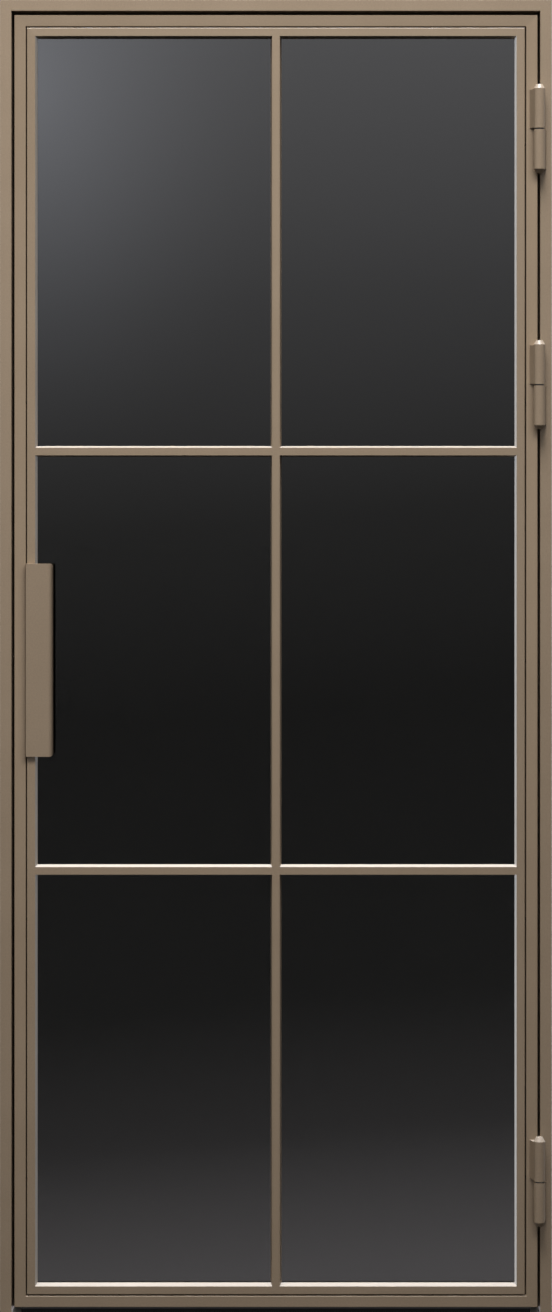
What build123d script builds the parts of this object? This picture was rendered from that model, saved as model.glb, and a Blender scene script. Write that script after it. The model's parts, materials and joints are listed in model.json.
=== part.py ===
from build123d import *
import os

os.makedirs("parts", exist_ok=True)

# A glass door of slim steel tubes in its own three-sided frame, without a threshold.
# The leaf hangs on three lift-off hinges. One dark pane fills it, with bevelled bars on both faces.
# Millimetres. X runs from the latch side to the hinge side, Y from the opening side to the stop side,
# Z up. The origin is on the floor, at the middle of the leaf's width and thickness.

# Leaf
leaf_width = 826.0
leaf_height = 2040.0
leaf_depth = 40.0
leaf_face = 18.0
leaf_wall = 2.0
leaf_inner_edge_radius = 1.2

# Gaps round the leaf
side_gap = 4.0
top_gap = 5.5
floor_gap = 10.0
stop_gap = 4.0

# Frame
frame_face = 18.5
frame_proud = 5.0
frame_wall = 2.0
stop_lap = 18.0
stop_depth = 19.5
edge_radius = 1.0

# Wall fixings through the frame
fixing_hole_radius = 4.0
fixing_place_shares = (0.1, 0.5, 0.9)

# Seal in the stop
seal_groove_width = 3.4
seal_groove_depth = 4.0
seal_groove_inset = 8.7
seal_bulb_width = 6.4
seal_foot_clearance = 0.2
seal_leaf_clearance = 0.3
seal_hollow_radius = 1.1

# Magnetic catch in the stop
magnet_width = 6.0
magnet_length = 40.0
magnet_leaf_clearance = 0.5

# Glazing
glass_thickness = 6.4
glass_edge_gap = 10.5
tape_thickness = 2.0
tape_inset = 1.0
tape_joint = 0.4
block_length = 80.0
block_width = 8.0
block_place_shares = (0.15, 0.85)

# Glazing beads, seen from the front as groove, flat face and sloping side
shadow_groove = 2.0
bead_face = 13.0
bead_bevel = 2.5
bead_wall = 1.5
bead_lip = 3.5
bead_edge_radius = 1.3

# Clip studs that hold the beads
clip_head_radius = 4.5
clip_head_height = 1.5
clip_neck_radius = 2.5
clip_clearance = 0.3
clip_rail_shares = (0.2, 0.8)
clip_stile_shares = (0.1, 0.3, 0.5, 0.7, 0.9)

# Bars on the pane
bar_face = 12.0
bar_wall = 1.5
bar_rows = ("lower", "upper")

# Pull handles
handle_length = 304.0
handle_height = 1032.0
handle_width = 42.5
handle_depth = 10.0
handle_flange = 8.0
handle_web = 12.0
handle_overhang = 0.8
handle_corner_radius = 5.0
handle_edge_radius = 7.0
handle_inner_radius = 1.5
handle_stud_spacing = 220.0
handle_stud_radius = 2.5
handle_stud_depth = 6.0
handle_stud_clearance = 0.1
handle_hole_clearance = 0.25

# Floor seal under the leaf
floor_seal_inset = 2.0
floor_seal_end_inset = 11.0
floor_seal_base = 1.5
floor_seal_fin = 2.0
floor_seal_clearance = 1.0
carrier_height = 2.5
carrier_wall = 1.2
carrier_fit = 0.3

# Lift-off hinges
hinge_length = 140.0
hinge_barrel_radius = 9.0
hinge_barrel_clearance = 0.5
hinge_tip_radius = 5.2
hinge_tip_height = 6.5
hinge_pin_radius = 5.0
hinge_pin_seat = 40.0
hinge_pin_reach = 45.0
hinge_pin_clearance = 0.05
hinge_pin_seat_clearance = 0.02
hinge_bore_spare = 2.0
hinge_pin_chamfer = 1.0
hinge_washer_radius = 6.8
hinge_washer_thickness = 2.2
hinge_tail_inset = 1.5
hinge_tail_on_leaf = 11.0
hinge_tail_on_frame = 8.0
hinge_tail_short = 1.0
hinge_top_drop = 181.0
hinge_middle_drop = 403.0
hinge_bottom_rise = 202.0

# Levels that follow from the sizes above
leaf_front = -leaf_depth / 2
leaf_back = leaf_depth / 2
frame_front = leaf_front - frame_proud
stop_front = leaf_back + stop_gap
frame_back = stop_front + stop_depth
glass_front = -glass_thickness / 2
glass_back = glass_thickness / 2
bead_back = glass_front - tape_thickness
fin_front = glass_back + tape_thickness
bead_depth = bead_back - leaf_front
bead_outer = leaf_face + shadow_groove
sight_front = bead_outer + bead_face
sight_base = sight_front + bead_bevel
glass_inset = leaf_face + glass_edge_gap
stop_edge = frame_face + stop_lap
frame_width = leaf_width + 2 * (side_gap + frame_face)
leaf_top = floor_gap + leaf_height
frame_height = leaf_top + top_gap + frame_face
overrun = 2 * max(leaf_depth, frame_back - frame_front)


def outline(*points):
    """A flat face with the given corners."""
    return make_face(Polyline(*points, close=True))


def round_corners(face, radius, *corners):
    """The face with the named corners rounded."""
    for corner in corners:
        face = fillet(face.vertices().sort_by_distance(corner)[0], radius)
    return face


def rectangle(low_u, high_u, low_y, high_y):
    """A rectangle in a section, from its limits."""
    return outline((low_u, low_y), (high_u, low_y), (high_u, high_y), (low_u, high_y))


def sides(width, height, bottom):
    """The four edges of an upright rectangle, each with its length.

    On each plane x runs inwards from the edge, y runs from front to back and z runs along the edge,
    clockwise as seen from the front.
    """
    left, right, top = -width / 2, width / 2, bottom + height
    return {
        "latch": (Plane((left, 0, bottom), x_dir=(1, 0, 0), z_dir=(0, 0, 1)), height),
        "top": (Plane((left, 0, top), x_dir=(0, 0, -1), z_dir=(1, 0, 0)), width),
        "hinge": (Plane((right, 0, top), x_dir=(-1, 0, 0), z_dir=(0, 0, -1)), height),
        "bottom": (Plane((right, 0, bottom), x_dir=(0, 0, 1), z_dir=(-1, 0, 0)), width),
    }


def mitred(section, length, start=True, end=True, joint=0):
    """A section run along an edge, its ends cut at 45 degrees, a joint short of the neighbour they meet."""
    bar = extrude(section, length, dir=(0, 0, 1))
    if start:
        bar = split(bar, Plane((0, 0, joint), z_dir=(-1, 0, 1)), keep=Keep.TOP)
    if end:
        bar = split(bar, Plane((0, 0, length - joint), z_dir=(-1, 0, -1)), keep=Keep.TOP)
    return bar


leaf_sides = sides(leaf_width, leaf_height, floor_gap)
frame_sides = sides(frame_width, frame_height, 0)
nodes = {}

# Leaf tubes: a face tube in front, a wider fin behind that the pane is bedded on
leaf_outline = outline(
    (0, leaf_front), (leaf_face, leaf_front), (leaf_face, fin_front),
    (sight_base, fin_front), (sight_front, leaf_back), (0, leaf_back))
leaf_void = offset(leaf_outline, -leaf_wall, kind=Kind.INTERSECTION)
leaf_outline = round_corners(leaf_outline, edge_radius, (0, leaf_front), (0, leaf_back))
leaf_outline = round_corners(leaf_outline, leaf_inner_edge_radius, (leaf_face, leaf_front))
leaf_section = leaf_outline - leaf_void

handle_inset = bead_outer - handle_overhang
handle_stud_inset = handle_inset + handle_web / 2
handle_stud_heights = [handle_height + side * handle_stud_spacing / 2 for side in (-1, 1)]


def stud_hole(height):
    """A cutter for one handle stud's hole, right through the latch side of the leaf."""
    place = Pos(-leaf_width / 2 + handle_stud_inset, 0, height) * Rot(90, 0, 0)
    return place * Cylinder(handle_stud_radius + handle_hole_clearance, leaf_depth + overrun)


leaf_names = {"latch": "latch_stile", "top": "top_rail", "hinge": "hinge_stile", "bottom": "bottom_rail"}
for side, (plane, length) in leaf_sides.items():
    tube = plane * mitred(leaf_section, length)
    if side == "latch":
        for height in handle_stud_heights:
            tube -= stud_hole(height)
    nodes[leaf_names[side]] = tube

# Glazing beads: open channels that snap over the clip studs
bead_section = round_corners(
    outline(
        (bead_outer, leaf_front), (sight_front, leaf_front), (sight_base, bead_back), (bead_outer, bead_back),
        (bead_outer, bead_back - bead_lip), (bead_outer + bead_wall, bead_back - bead_lip),
        (bead_outer + bead_wall, bead_back - bead_wall), (sight_base - 2 * bead_wall, bead_back - bead_wall),
        (sight_front - bead_wall, leaf_front + bead_wall), (bead_outer + bead_wall, leaf_front + bead_wall),
        (bead_outer + bead_wall, leaf_front + bead_lip), (bead_outer, leaf_front + bead_lip)),
    bead_edge_radius, (bead_outer, leaf_front))
for side, (plane, length) in leaf_sides.items():
    bead = plane * mitred(bead_section, length)
    if side == "latch":
        for height in handle_stud_heights:
            bead -= stud_hole(height)
    nodes[f"{side}_bead"] = bead

# Clip studs: hexagon studs welded to the tube, with a neck between the bead's lips and a head behind them
clip_y = (leaf_front + bead_back) / 2
clip_neck_height = shadow_groove + bead_wall + clip_clearance
clip_neck = extrude(RegularPolygon(clip_neck_radius, 6), clip_neck_height)
clip_head = extrude(RegularPolygon(clip_head_radius, 6), clip_head_height)
clip_stud = clip_neck + Pos(0, 0, clip_neck_height) * clip_head
clip_studs = []
for side, (plane, length) in leaf_sides.items():
    shares = clip_stile_shares if side in ("latch", "hinge") else clip_rail_shares
    for share in shares:
        clip_studs.append(plane * Pos(leaf_face, clip_y, length * share) * Rot(0, 90, 0) * clip_stud)
nodes["bead_clip_studs"] = Compound(children=clip_studs)

# Pane, bedded between two tapes and centred by setting blocks
pane_width = leaf_width - 2 * glass_inset
pane_height = leaf_height - 2 * glass_inset
leaf_middle = floor_gap + leaf_height / 2
nodes["glass_pane"] = Pos(0, 0, leaf_middle) * Box(pane_width, glass_thickness, pane_height)

blocks = []
for plane, length in leaf_sides.values():
    for share in block_place_shares:
        middle = leaf_face + glass_edge_gap / 2
        blocks.append(plane * Pos(middle, 0, length * share) * Box(glass_edge_gap, block_width, block_length))
nodes["setting_blocks"] = Compound(children=blocks)

# Bars: bevelled tubes whose ends are coped to the sloping side that they run into
bar_half = bar_face / 2
bar_base_half = bar_half + bead_bevel
bar_outline = outline(
    (-bar_half, leaf_front), (bar_half, leaf_front), (bar_base_half, bead_back), (-bar_base_half, bead_back))
bar_section = bar_outline - offset(bar_outline, -bar_wall, kind=Kind.INTERSECTION)
tape_section = rectangle(-bar_base_half + tape_inset, bar_base_half - tape_inset, bead_back, glass_front)


def cope(bar, edge, inwards):
    """A bar's end trimmed to a sloping side, whose front edge passes through the given point."""
    normal = Vector(*inwards) * bead_depth - Vector(0, 1, 0) * bead_bevel
    return split(bar, Plane(edge, z_dir=normal), keep=Keep.TOP)


upright = extrude(bar_section, leaf_top, dir=(0, 0, 1))
upright = cope(upright, (0, leaf_front, floor_gap + sight_front), (0, 0, 1))
upright = cope(upright, (0, leaf_front, leaf_top - sight_front), (0, 0, -1))
nodes["front_upright_bar"] = upright
nodes["back_upright_bar"] = mirror(upright, Plane.XZ)
tape_length = leaf_height - 2 * sight_base
front_tapes = [Pos(0, 0, floor_gap + sight_base) * extrude(tape_section, tape_length, dir=(0, 0, 1))]

light_height = (leaf_height - 2 * sight_front - len(bar_rows) * bar_face) / (len(bar_rows) + 1)
light_pitch = light_height + bar_face
for row, row_name in enumerate(bar_rows, 1):
    height = floor_gap + sight_front + row * light_pitch - bar_half
    for side, sign in (("latch", -1), ("hinge", 1)):
        # Each cross bar runs from the middle of the upright to the leaf's edge before it is coped
        across = Plane((0, 0, height), x_dir=(0, 0, -sign), z_dir=(sign, 0, 0))
        bar = across * extrude(bar_section, leaf_width / 2, dir=(0, 0, 1))
        bar = cope(bar, (sign * bar_half, leaf_front, height), (sign, 0, 0))
        bar = cope(bar, (sign * (leaf_width / 2 - sight_front), leaf_front, height), (-sign, 0, 0))
        nodes[f"front_{row_name}_{side}_bar"] = bar
        nodes[f"back_{row_name}_{side}_bar"] = mirror(bar, Plane.XZ)
        tape_length = leaf_width / 2 - sight_base - bar_base_half
        tape = Pos(0, 0, bar_base_half) * extrude(tape_section, tape_length, dir=(0, 0, 1))
        front_tapes.append(across * tape)

# Tape round the edge of the pane, in line with the beads, in strips cut a little short at the corners
edge_tape = rectangle(glass_inset + tape_inset, sight_base - tape_inset, bead_back, glass_front)
for plane, length in leaf_sides.values():
    front_tapes.append(plane * mitred(edge_tape, length, joint=tape_joint))
nodes["front_glazing_tape"] = Compound(children=front_tapes)
nodes["back_glazing_tape"] = Compound(children=[mirror(tape, Plane.XZ) for tape in front_tapes])

# Floor seal: a shallow channel under the bottom rail, and in it a rubber strip with two fins
carrier_half = leaf_depth / 2 - floor_seal_inset
carrier_low = floor_gap - carrier_height
carrier_roof = floor_gap - carrier_wall
strip_half = carrier_half - carrier_wall - carrier_fit
strip_top = carrier_roof - carrier_fit
carrier_section = rectangle(-carrier_half, carrier_half, carrier_low, floor_gap)
carrier_section -= rectangle(
    carrier_wall - carrier_half, carrier_half - carrier_wall, carrier_low, carrier_roof)
strip_section = rectangle(-strip_half, strip_half, floor_seal_clearance, strip_top)
strip_section -= rectangle(
    floor_seal_fin - strip_half, strip_half - floor_seal_fin,
    floor_seal_clearance, strip_top - floor_seal_base)
floor_seal_length = leaf_width - 2 * floor_seal_end_inset
seal_plane = Plane((-floor_seal_length / 2, 0, 0), x_dir=(0, 1, 0), z_dir=(1, 0, 0))
nodes["floor_seal_carrier"] = seal_plane * extrude(carrier_section, floor_seal_length)
nodes["floor_seal"] = seal_plane * extrude(strip_section, floor_seal_length)

# Pull handles: a plate with a rounded grip edge that reaches over the pane, back to back on two studs
handle_left = -leaf_width / 2 + handle_inset
handle_section = outline(
    (0, 0), (0, -handle_depth), (handle_width, -handle_depth), (handle_width, handle_flange - handle_depth),
    (handle_web, handle_flange - handle_depth), (handle_web, 0))
handle_section = round_corners(handle_section, handle_edge_radius, (handle_width, -handle_depth))
handle_section = round_corners(
    handle_section, handle_inner_radius, (handle_web, handle_flange - handle_depth))
handle_front = round_corners(
    rectangle(0, handle_width, 0, handle_length), handle_corner_radius,
    (handle_width, 0), (handle_width, handle_length))
grip = extrude(handle_section, handle_length, dir=(0, 0, 1))
grip &= Plane((0, 0, 0), x_dir=(1, 0, 0), z_dir=(0, -1, 0)) * extrude(handle_front, handle_depth)
handle = Pos(handle_left, leaf_front, handle_height - handle_length / 2) * grip
for height in handle_stud_heights:
    socket = Pos(-leaf_width / 2 + handle_stud_inset, leaf_front, height) * Rot(90, 0, 0)
    depth = handle_stud_depth + handle_hole_clearance
    handle -= socket * Cylinder(handle_stud_radius + handle_stud_clearance, 2 * depth)
nodes["front_handle"] = handle
nodes["back_handle"] = mirror(handle, Plane.XZ)
stud = Rot(90, 0, 0) * Cylinder(handle_stud_radius, leaf_depth + 2 * handle_stud_depth)
nodes["handle_studs"] = Compound(children=[
    Pos(-leaf_width / 2 + handle_stud_inset, 0, height) * stud for height in handle_stud_heights])

# Frame: a tube against the wall and a stop bar on its inner side, with a groove for the seal
groove_low = frame_face + seal_groove_inset - seal_groove_width
groove_high = frame_face + seal_groove_inset
stop_wall = seal_groove_depth + frame_wall
frame_outline = rectangle(0, frame_face, frame_front, frame_back)
frame_void = offset(frame_outline, -frame_wall, kind=Kind.INTERSECTION)
frame_outline = round_corners(frame_outline, edge_radius, (0, frame_front), (frame_face, frame_front))
frame_section = frame_outline - frame_void
stop_outline = rectangle(frame_face, stop_edge, stop_front, frame_back)
stop_outline = round_corners(stop_outline, edge_radius, (stop_edge, stop_front), (stop_edge, frame_back))
stop_void = rectangle(
    frame_face + frame_wall, stop_edge - frame_wall, stop_front + stop_wall, frame_back - frame_wall)
seal_groove = rectangle(groove_low, groove_high, stop_front, stop_front + seal_groove_depth)
stop_section = stop_outline - stop_void - seal_groove

frame_names = {"latch": "latch_jamb", "top": "frame_head", "hinge": "hinge_jamb"}
stop_names = {"latch": "latch_stop", "top": "head_stop", "hinge": "hinge_stop"}
frame_ends = {"latch": (False, True), "top": (True, True), "hinge": (True, False)}
magnet_middle = (groove_high + stop_edge) / 2


def fixing_hole(along):
    """A cutter for a wall screw's hole, through both walls of the frame."""
    return Pos(0, 0, along) * Rot(0, 90, 0) * Cylinder(fixing_hole_radius, overrun)


def magnet_bar(low, high):
    """The catch magnet's rounded bar, between two depths."""
    place = Plane((-frame_width / 2 + magnet_middle, low, handle_height), x_dir=(0, 0, 1), z_dir=(0, 1, 0))
    return place * extrude(SlotOverall(magnet_length, magnet_width), high - low, dir=(0, 0, 1))


for side, (start, end) in frame_ends.items():
    plane, length = frame_sides[side]
    tube = mitred(frame_section, length, start, end)
    if side != "top":
        for share in fixing_place_shares:
            tube -= fixing_hole(length * share)
    nodes[frame_names[side]] = plane * tube
    stop = plane * mitred(stop_section, length, start, end)
    if side == "latch":
        stop -= magnet_bar(stop_front - overrun, stop_front + stop_wall)
    nodes[stop_names[side]] = stop

nodes["catch_magnet"] = magnet_bar(leaf_back + magnet_leaf_clearance, stop_front + stop_wall)

# Seals: a foot in the groove and a hollow bulb that the closed leaf leans towards
seal_middle = (groove_low + groove_high) / 2
seal_crown = leaf_back + seal_leaf_clearance
bulb_half = seal_bulb_width / 2
bulb_left = (seal_middle - bulb_half, stop_front)
bulb_right = (seal_middle + bulb_half, stop_front)
bulb = make_face([
    Line(bulb_right, bulb_left),
    ThreePointArc(bulb_left, (seal_middle, seal_crown), bulb_right)])
foot = rectangle(
    groove_low + seal_foot_clearance, groove_high - seal_foot_clearance,
    stop_front, stop_front + seal_groove_depth - seal_foot_clearance)
hollow = Pos(seal_middle, (seal_crown + stop_front) / 2) * Circle(seal_hollow_radius)
seal_section = bulb + foot - hollow
for side, (start, end) in frame_ends.items():
    plane, length = frame_sides[side]
    nodes[f"{side}_seal"] = plane * mitred(seal_section, length, start, end)

# Hinges: two drop-shaped halves on one pin, the upper half on the leaf and the lower on the frame
hinge_x = leaf_width / 2 + side_gap / 2
hinge_to_frame = hinge_barrel_radius + hinge_barrel_clearance
hinge_y = frame_front - hinge_to_frame
hinge_half = (hinge_length - hinge_washer_thickness) / 2
half_low = hinge_washer_thickness / 2
half_high = half_low + hinge_half
shoulder = half_high - hinge_tip_height
barrel_profile = outline(
    (0, half_high), (0, half_low), (hinge_barrel_radius, half_low), (hinge_barrel_radius, shoulder),
    (hinge_tip_radius, half_high))
barrel = revolve(Plane.XZ * barrel_profile, Axis.Z)


def hinge_half_solid(tail_sign, tail_width, tail_reach, bore_radius, bore_depth):
    """A hinge half above its parting face, with a tail that runs back to the face it is welded to."""
    near = side_gap / 2 + hinge_tail_inset
    tail = outline(
        (0, 0), (tail_sign * hinge_barrel_radius, 0), (tail_sign * (near + tail_width), tail_reach),
        (tail_sign * near, tail_reach))
    tail_low = half_low + hinge_tail_short
    tail_high = shoulder - hinge_tail_short
    solid = barrel + Pos(0, 0, tail_low) * extrude(tail, tail_high - tail_low, dir=(0, 0, 1))
    return solid - Cylinder(bore_radius, 2 * (half_low + bore_depth))


leaf_half = hinge_half_solid(
    -1, hinge_tail_on_leaf, leaf_front - hinge_y, hinge_pin_radius + hinge_pin_clearance,
    hinge_pin_reach + hinge_bore_spare)
frame_half = mirror(hinge_half_solid(
    1, hinge_tail_on_frame, hinge_to_frame, hinge_pin_radius + hinge_pin_seat_clearance,
    hinge_pin_seat), Plane.XY)
pin = Pos(0, 0, -half_low - hinge_pin_seat) * Cylinder(
    hinge_pin_radius, hinge_pin_seat + hinge_washer_thickness + hinge_pin_reach,
    align=(Align.CENTER, Align.CENTER, Align.MIN))
pin = chamfer(pin.edges().filter_by(GeomType.CIRCLE).sort_by(Axis.Z)[-1], hinge_pin_chamfer)
washer = Cylinder(hinge_washer_radius, hinge_washer_thickness)
washer -= Cylinder(hinge_pin_radius + hinge_pin_clearance, 2 * hinge_washer_thickness)

top_hinge_height = leaf_top - hinge_top_drop
hinge_heights = {
    "top": top_hinge_height,
    "middle": top_hinge_height - hinge_middle_drop,
    "bottom": floor_gap + hinge_bottom_rise,
}
for name, height in hinge_heights.items():
    place = Pos(hinge_x, hinge_y, height)
    nodes[f"{name}_hinge_leaf_half"] = place * leaf_half
    nodes[f"{name}_hinge_frame_half"] = place * frame_half
    nodes[f"{name}_hinge_pin"] = place * pin
    nodes[f"{name}_hinge_washer"] = place * washer

for name, solid in nodes.items():
    export_step(solid, f"parts/{name}.step")
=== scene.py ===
import json
import math

import bpy
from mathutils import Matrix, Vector


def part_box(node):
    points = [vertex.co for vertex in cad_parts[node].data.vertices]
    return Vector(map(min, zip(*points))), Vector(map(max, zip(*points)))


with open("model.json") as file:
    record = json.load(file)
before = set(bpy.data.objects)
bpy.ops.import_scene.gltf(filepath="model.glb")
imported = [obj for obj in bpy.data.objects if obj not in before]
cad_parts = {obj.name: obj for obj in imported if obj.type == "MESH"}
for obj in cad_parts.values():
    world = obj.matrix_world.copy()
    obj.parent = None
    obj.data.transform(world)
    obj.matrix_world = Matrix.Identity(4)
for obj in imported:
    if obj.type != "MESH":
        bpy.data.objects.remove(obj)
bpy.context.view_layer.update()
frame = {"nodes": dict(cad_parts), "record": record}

MM = 0.001

# The photograph's size, what one of its pixels covers on the front of the leaf, and where the leaf is in it
IMAGE_WIDTH_PX = 552
IMAGE_HEIGHT_PX = 1312
PIXEL_MM = 1.5785
LEAF_MIDDLE_PX = 275.9
LEAF_TOP_PX = 15.0

# The point of the photograph that the camera looks straight at, and how far it stands from the leaf
AXIS_PX = (335, 450)
CAMERA_DISTANCE = 5.0
SENSOR_MM = 36.0


def linear(colour):
    """An sRGB hex colour as linear red, green, blue and alpha."""
    parts = [int(colour[i:i + 2], 16) / 255 for i in (1, 3, 5)]
    return [p / 12.92 if p <= 0.04045 else ((p + 0.055) / 1.055) ** 2.4 for p in parts] + [1.0]


def add(tree, kind, inputs=None, **settings):
    """A node of the given kind with its settings. Each input is a value or the socket that feeds it."""
    node = tree.nodes.new("ShaderNode" + kind)
    for name, value in settings.items():
        setattr(node, name, value)
    for name, value in (inputs or {}).items():
        if isinstance(value, bpy.types.NodeSocket):
            tree.links.new(value, node.inputs[name])
        else:
            node.inputs[name].default_value = value
    return node


def new_material(name):
    """An empty node material with its output, and the tree to fill."""
    material = bpy.data.materials.new(name)
    material.use_nodes = True
    tree = material.node_tree
    tree.nodes.clear()
    return material, tree, tree.nodes.new("ShaderNodeOutputMaterial")


def per_metre(size_mm):
    """The texture scale at which one cell of a pattern is as wide as the given millimetres."""
    return 1 / (size_mm * MM)


def satin_powder_coat():
    """Taupe bronze polyester powder, baked on steel.

    It flows out to a satin skin with a faint orange peel, so highlights are broad and soft-edged,
    and the colour drifts very slightly from place to place.
    """
    material, tree, output = new_material("satin_powder_coat")
    place = add(tree, "TexCoord").outputs["Object"]
    drift = add(tree, "TexNoise", {"Vector": place, "Scale": per_metre(90), "Detail": 3.0})
    # Real powder grain is about 0.3 mm wide, drawn at 2.5 mm so that it shows at this distance
    grain = add(tree, "TexNoise", {"Vector": place, "Scale": per_metre(2.5), "Detail": 2.0})
    peel = add(tree, "TexNoise", {"Vector": place, "Scale": per_metre(1.6), "Detail": 1.0})
    tone = add(tree, "ValToRGB", {"Fac": drift.outputs["Fac"]})
    tone.color_ramp.elements[0].position = 0.3
    tone.color_ramp.elements[0].color = linear("#8A7863")
    tone.color_ramp.elements[1].position = 0.7
    tone.color_ramp.elements[1].color = linear("#8E7C67")
    speckle = add(tree, "ValToRGB", {"Fac": grain.outputs["Fac"]})
    speckle.color_ramp.elements[0].position = 0.35
    speckle.color_ramp.elements[0].color = linear("#F4F4F4")
    speckle.color_ramp.elements[1].position = 0.65
    speckle.color_ramp.elements[1].color = linear("#FFFFFF")
    colour = add(tree, "Mix", {"Factor": 1.0, "A": tone.outputs["Color"], "B": speckle.outputs["Color"]},
                 data_type="RGBA", blend_type="MULTIPLY")
    gloss = add(tree, "MapRange", {"Value": grain.outputs["Fac"], "To Min": 0.40, "To Max": 0.50})
    bump = add(tree, "Bump", {"Height": peel.outputs["Fac"], "Strength": 0.12, "Distance": 0.1 * MM})
    shader = add(tree, "BsdfPrincipled", {
        "Base Color": colour.outputs["Result"], "Roughness": gloss.outputs["Result"],
        "Normal": bump.outputs["Normal"], "IOR": 1.5})
    tree.links.new(shader.outputs["BSDF"], output.inputs["Surface"])
    return material


def smoked_laminated_glass():
    """Two sheets of float glass with a dark grey film between them.

    Almost nothing shows through, so the eye gets the polished face's reflections over near black.
    """
    material, tree, output = new_material("smoked_laminated_glass")
    place = add(tree, "TexCoord").outputs["Object"]
    roller = add(tree, "TexNoise", {"Vector": place, "Scale": per_metre(300), "Detail": 0.0})
    film = add(tree, "TexNoise", {"Vector": place, "Scale": per_metre(400), "Detail": 1.0})
    tint = add(tree, "ValToRGB", {"Fac": film.outputs["Fac"]})
    tint.color_ramp.elements[0].color = linear("#171717")
    tint.color_ramp.elements[1].color = linear("#191919")
    bump = add(tree, "Bump", {"Height": roller.outputs["Fac"], "Strength": 0.02, "Distance": 0.05 * MM})
    shader = add(tree, "BsdfPrincipled", {
        "Base Color": tint.outputs["Color"], "Roughness": 0.02, "IOR": 1.52,
        "Transmission Weight": 1.0, "Normal": bump.outputs["Normal"]})
    tree.links.new(shader.outputs["BSDF"], output.inputs["Surface"])
    return material


def soft_black(name, dark, light, grain_mm, roughness, sheen):
    """A matt black moulded or extruded surface: a dusty bloom over black, with a fine grain."""
    material, tree, output = new_material(name)
    place = add(tree, "TexCoord").outputs["Object"]
    grain = add(tree, "TexNoise", {"Vector": place, "Scale": per_metre(grain_mm), "Detail": 3.0})
    colour = add(tree, "ValToRGB", {"Fac": grain.outputs["Fac"]})
    colour.color_ramp.elements[0].color = linear(dark)
    colour.color_ramp.elements[1].color = linear(light)
    bump = add(tree, "Bump", {"Height": grain.outputs["Fac"], "Strength": 0.2, "Distance": 0.1 * MM})
    shader = add(tree, "BsdfPrincipled", {
        "Base Color": colour.outputs["Color"], "Roughness": roughness, "IOR": 1.5,
        "Specular IOR Level": sheen, "Normal": bump.outputs["Normal"]})
    tree.links.new(shader.outputs["BSDF"], output.inputs["Surface"])
    return material


def plated_steel(name, dark, light, grain_mm, roughness):
    """Bright plating over drawn steel: a pale metal with a cloudy tone and fine drawing marks."""
    material, tree, output = new_material(name)
    place = add(tree, "TexCoord").outputs["Object"]
    cloud = add(tree, "TexNoise", {"Vector": place, "Scale": per_metre(grain_mm), "Detail": 4.0})
    colour = add(tree, "ValToRGB", {"Fac": cloud.outputs["Fac"]})
    colour.color_ramp.elements[0].color = linear(dark)
    colour.color_ramp.elements[1].color = linear(light)
    gloss = add(tree, "MapRange", {
        "Value": cloud.outputs["Fac"], "To Min": roughness, "To Max": roughness + 0.12})
    shader = add(tree, "BsdfPrincipled", {
        "Base Color": colour.outputs["Color"], "Metallic": 1.0, "Roughness": gloss.outputs["Result"]})
    tree.links.new(shader.outputs["BSDF"], output.inputs["Surface"])
    return material


finishes = {
    "taupe_powder_coat": satin_powder_coat(),
    "smoked_glass": smoked_laminated_glass(),
    "black_rubber": soft_black("extruded_rubber", "#0B0B0B", "#151514", 1.5, 0.7, 0.15),
    "glazing_tape": soft_black("foam_glazing_tape", "#0C0C0C", "#1A1918", 0.8, 0.85, 0.1),
    "black_plastic": soft_black("moulded_nylon", "#121212", "#1C1C1D", 0.6, 0.5, 0.5),
    "zinc_steel": plated_steel("zinc_plated_steel", "#B9BBBA", "#D2D3D0", 4.0, 0.28),
    "nickel_magnet": plated_steel("nickel_plated_magnet", "#BDB7AE", "#D4CFC6", 6.0, 0.2),
}
# The bead clips are zinc too, but coloured near black as painted shade, so they sit dark in the shaded slit
# beside the beads and don't glint there
own_finishes = {"bead_clip_studs": plated_steel("shade_black_clip_zinc", "#1E1D1B", "#2A2826", 3.0, 0.5)}
for row in frame["record"]["subparts"]:
    mesh = frame["nodes"][row["node"]].data
    mesh.materials.clear()
    mesh.materials.append(own_finishes.get(row["node"], finishes[row["material_slot"]]))

# Stage: a pale floor that keeps the door's shadow
FLOOR_SIZE = 80.0
bpy.ops.mesh.primitive_plane_add(size=FLOOR_SIZE, location=(0, 0, 0))
floor = bpy.context.object
floor.name = "studio_floor"
floor_material, tree, output = new_material("matt_studio_floor")
place = add(tree, "TexCoord").outputs["Object"]
mottle = add(tree, "TexNoise", {"Vector": place, "Scale": per_metre(400), "Detail": 4.0})
tone = add(tree, "ValToRGB", {"Fac": mottle.outputs["Fac"]})
tone.color_ramp.elements[0].color = linear("#D6D4D0")
tone.color_ramp.elements[1].color = linear("#DCDAD6")
shader = add(tree, "BsdfPrincipled", {"Base Color": tone.outputs["Color"], "Roughness": 0.8})
tree.links.new(shader.outputs["BSDF"], output.inputs["Surface"])
floor.data.materials.append(floor_material)
# Bounced and mirrored light passes the floor by: the world stands in for it there
floor.visible_diffuse = False
floor.visible_glossy = False

# Light: the room that the glass mirrors, the even light that fills the shadows, and the pale background
world = bpy.data.worlds.new("studio")
bpy.context.scene.world = world
world.use_nodes = True
tree = world.node_tree
tree.nodes.clear()
output = tree.nodes.new("ShaderNodeOutputWorld")
ray = add(tree, "LightPath")
direction = add(tree, "TexCoord").outputs["Generated"]
split = add(tree, "SeparateXYZ", {"Vector": direction})

# What the polished glass mirrors, by height: lit floor below, dark room in the middle, ceiling light above.
# The pattern leans a little, because the room's light comes from the left.
MIRROR_LEAN = -0.08
MIRROR_LOW = -0.45
MIRROR_HIGH = 0.45
WARM, PLAIN, COOL = "#FFF9FC", "#FDFDFD", "#FBFBFF"
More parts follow.
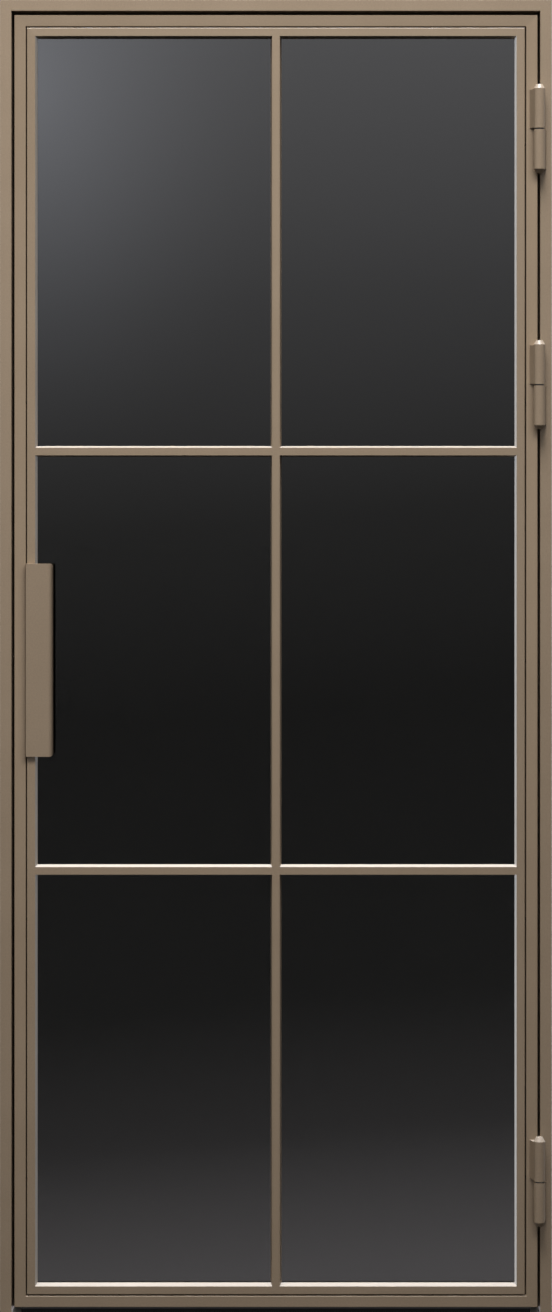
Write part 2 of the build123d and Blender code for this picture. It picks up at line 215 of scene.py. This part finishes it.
# Each stop: the sine of the height angle, the brightness and the tint
MIRROR_STOPS = (
    (MIRROR_LOW, 0.05, WARM), (-0.36, 0.46, WARM), (-0.30, 1.86, WARM), (-0.25, 1.28, WARM),
    (-0.21, 0.34, WARM), (-0.17, 0.07, PLAIN), (-0.08, 0.04, PLAIN), (-0.02, 0.21, PLAIN),
    (0.05, 0.76, COOL), (0.13, 1.66, COOL), (0.20, 1.86, COOL), (MIRROR_HIGH, 0.46, COOL))
lean = add(tree, "Math", {0: split.outputs["X"], 1: MIRROR_LEAN, 2: split.outputs["Z"]},
           operation="MULTIPLY_ADD")
height = add(tree, "MapRange", {
    "Value": lean.outputs[0], "From Min": MIRROR_LOW, "From Max": MIRROR_HIGH})
mirror = add(tree, "ValToRGB", {"Fac": height.outputs["Result"]})
ramp = mirror.color_ramp
ramp.elements.remove(ramp.elements[1])
for sine, level, tint in MIRROR_STOPS:
    position = (sine - MIRROR_LOW) / (MIRROR_HIGH - MIRROR_LOW)
    stop = ramp.elements[0] if position == 0 else ramp.elements.new(position)
    stop.color = [level * part for part in linear(tint)]

# A window's cool glow in the glass, high at the left: the X and Z of its direction, and how far it spreads
GLOW_PLACE = (-0.099, 0.115)
GLOW_REACH = (0.094, 0.132)
GLOW_LIGHT = (1.8, 1.9, 2.15)
spot = add(tree, "Mapping", {
    "Vector": direction, "Scale": (1 / GLOW_REACH[0], 0, 1 / GLOW_REACH[1]),
    "Location": (-GLOW_PLACE[0] / GLOW_REACH[0], 0, -GLOW_PLACE[1] / GLOW_REACH[1])})
glow = add(tree, "TexGradient", {"Vector": spot.outputs["Vector"]}, gradient_type="QUADRATIC_SPHERE")
mirrored = add(tree, "VectorMath", {0: glow.outputs["Fac"], 1: GLOW_LIGHT, 2: mirror.outputs["Color"]},
               operation="MULTIPLY_ADD")

# Even light: from the front, more from behind, almost none from below
above = add(tree, "MapRange", {"Value": split.outputs["Z"], "From Min": -0.1, "From Max": 0.1,
                               "To Min": 0.06, "To Max": 1.0})
ahead = add(tree, "MapRange", {"Value": split.outputs["Y"], "From Min": 0.0, "From Max": -1.0,
                               "To Min": 0.05, "To Max": 0.52})
behind = add(tree, "MapRange", {"Value": split.outputs["Y"], "From Min": 0.4, "From Max": 0.9,
                                "To Min": 0.05, "To Max": 1.3})
around = add(tree, "Math", {0: ahead.outputs["Result"], 1: behind.outputs["Result"]}, operation="MAXIMUM")
fill = add(tree, "Math", {0: above.outputs["Result"], 1: around.outputs[0]}, operation="MULTIPLY")
even = add(tree, "Background", {"Color": linear("#FFFFFF"), "Strength": fill.outputs[0]})
shine = add(tree, "Background", {"Color": mirrored.outputs[0]})
pale = add(tree, "Background", {"Color": linear("#EDEBE8"), "Strength": 1.0})
seen = add(tree, "Math", {0: ray.outputs["Is Camera Ray"], 1: ray.outputs["Is Transmission Ray"]},
           operation="MAXIMUM")
lit = add(tree, "MixShader", {0: ray.outputs["Is Glossy Ray"], 1: even.outputs[0], 2: shine.outputs[0]})
both = add(tree, "MixShader", {0: seen.outputs[0], 1: lit.outputs[0], 2: pale.outputs[0]})
tree.links.new(both.outputs[0], output.inputs["Surface"])


def place_lamp(name, kind, place, target, energy, **settings):
    """A lamp of the given kind in the scene, facing a point."""
    lamp = bpy.data.lights.new(name, kind)
    lamp.energy = energy
    for setting, value in settings.items():
        setattr(lamp, setting, value)
    lamp_object = bpy.data.objects.new(name, lamp)
    bpy.context.scene.collection.objects.link(lamp_object)
    lamp_object.location = place
    lamp_object.rotation_euler = (Vector(target) - Vector(place)).to_track_quat("-Z", "Y").to_euler()
    return lamp_object


def light_only(lamp_object, receivers):
    """Keep a lamp's light on the given objects."""
    collection = bpy.data.collections.new(lamp_object.name + "_receivers")
    for receiver in receivers:
        collection.objects.link(receiver)
    lamp_object.light_linking.receiver_collection = collection


PANEL_WIDTH = 2.4
BACK_PANEL_WIDTH = 2.8
NARROW_PANEL_WIDTH = 0.6
PANEL_HEIGHT = 1.2


def softbox(name, place, target, energy, width, spread_degrees, nodes):
    """A gridded panel that lights the named nodes and not the floor."""
    lamp_object = place_lamp(
        name, "AREA", place, target, energy, shape="RECTANGLE", size=width, size_y=PANEL_HEIGHT,
        spread=math.radians(spread_degrees))
    light_only(lamp_object, [frame["nodes"][node] for node in nodes])
    return lamp_object


def low_softbox(node, x, target, energy, spread_degrees):
    """A low panel for one node, so that what stands before it casts a short shadow. It gives no gloss."""
    lamp_object = softbox(
        node + "_softbox", (x, -2.2, 3.2), target, energy, PANEL_WIDTH, spread_degrees, [node])
    lamp_object.visible_glossy = False


# The main panel hangs high in front, and the handle has a narrow one at its left. The pieces that the head,
# the handle and the hinges shade have low panels. One more panel lights the back.
lit_apart = ("front_handle", "top_rail", "latch_bead", "latch_stile", "hinge_stile")
softbox("front_softbox", (-0.2, -0.9, 4.2), (-0.18, 0.0, 1.5), 33, PANEL_WIDTH, 50,
        [node for node in frame["nodes"] if node not in lit_apart])
softbox("handle_softbox", (-0.88, -0.9, 4.2), (-0.36, 0.0, 1.03), 21, NARROW_PANEL_WIDTH, 50,
        ["front_handle"])
low_softbox("top_rail", -0.1, (-0.1, 0.0, 2.05), 13.5, 60)
low_softbox("latch_bead", -0.3, (-0.3, 0.0, 1.1), 30, 95)
low_softbox("latch_stile", 0.6, (-0.41, 0.0, 1.2), 35, 95)
low_softbox("hinge_stile", 0.3, (0.3, 0.0, 1.3), 30, 95)
softbox("back_softbox", (0.0, 2.4, 3.4), (0.0, 0.0, 1.2), 20, BACK_PANEL_WIDTH, 90, list(frame["nodes"]))

# The floor has a broad light of its own
floor_wash = place_lamp("floor_wash", "SUN", (0, 0, 1), (0, 0, 0), 2.6, angle=math.radians(60))
light_only(floor_wash, [floor])


def edge_light(name, side, energy, nodes):
    """Cool light from one side that only slim edges of the named nodes catch, as in the photograph."""
    lamp_object = place_lamp(
        name, "SUN", side, (0, 0, 0), energy, use_shadow=False, color=linear("#BCD7FF")[:3])
    light_only(lamp_object, [frame["nodes"][node] for node in nodes])


ABOVE = (0, 0, 1)
LEFT = (-1, 0, 0)
RIGHT = (1, 0, 0)
lower_bars = [node for node in frame["nodes"] if node.endswith("_bar") and "_lower_" in node]
upper_bars = [node for node in frame["nodes"] if node.endswith("_bar") and "_upper_" in node]
hinge_halves = [node for node in frame["nodes"] if node.endswith("_hinge_leaf_half")]
edge_light("skylight", ABOVE, 12.0, upper_bars + ["bottom_bead"])
edge_light("hinge_skylight", ABOVE, 7.0, hinge_halves)
edge_light("low_skylight", ABOVE, 14.0, lower_bars)
edge_light("top_skylight", ABOVE, 2.0, ["top_bead"])
edge_light("left_window", LEFT, 9.0, ["hinge_bead"])
edge_light("right_window", RIGHT, 2.9, ["latch_bead"])

# Camera: level, square to the door, with the view shifted to the photograph's framing
camera_data = bpy.data.cameras.new("camera")
camera = bpy.data.objects.new("camera", camera_data)
bpy.context.scene.collection.objects.link(camera)
bpy.context.scene.camera = camera
leaf_low, leaf_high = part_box("top_rail")
pixel = PIXEL_MM * MM
camera.location = (
    (leaf_low.x + leaf_high.x) / 2 + (AXIS_PX[0] - LEAF_MIDDLE_PX) * pixel,
    leaf_low.y - CAMERA_DISTANCE,
    leaf_high.z + (LEAF_TOP_PX - AXIS_PX[1]) * pixel)
camera.rotation_euler = (math.pi / 2, 0, 0)
camera_data.sensor_fit = "VERTICAL"
camera_data.sensor_height = SENSOR_MM
camera_data.lens = SENSOR_MM * CAMERA_DISTANCE / (IMAGE_HEIGHT_PX * pixel)
camera_data.shift_x = (IMAGE_WIDTH_PX / 2 - AXIS_PX[0]) / IMAGE_HEIGHT_PX
camera_data.shift_y = (AXIS_PX[1] - IMAGE_HEIGHT_PX / 2) / IMAGE_HEIGHT_PX

bpy.context.scene.view_settings.view_transform = "Standard"
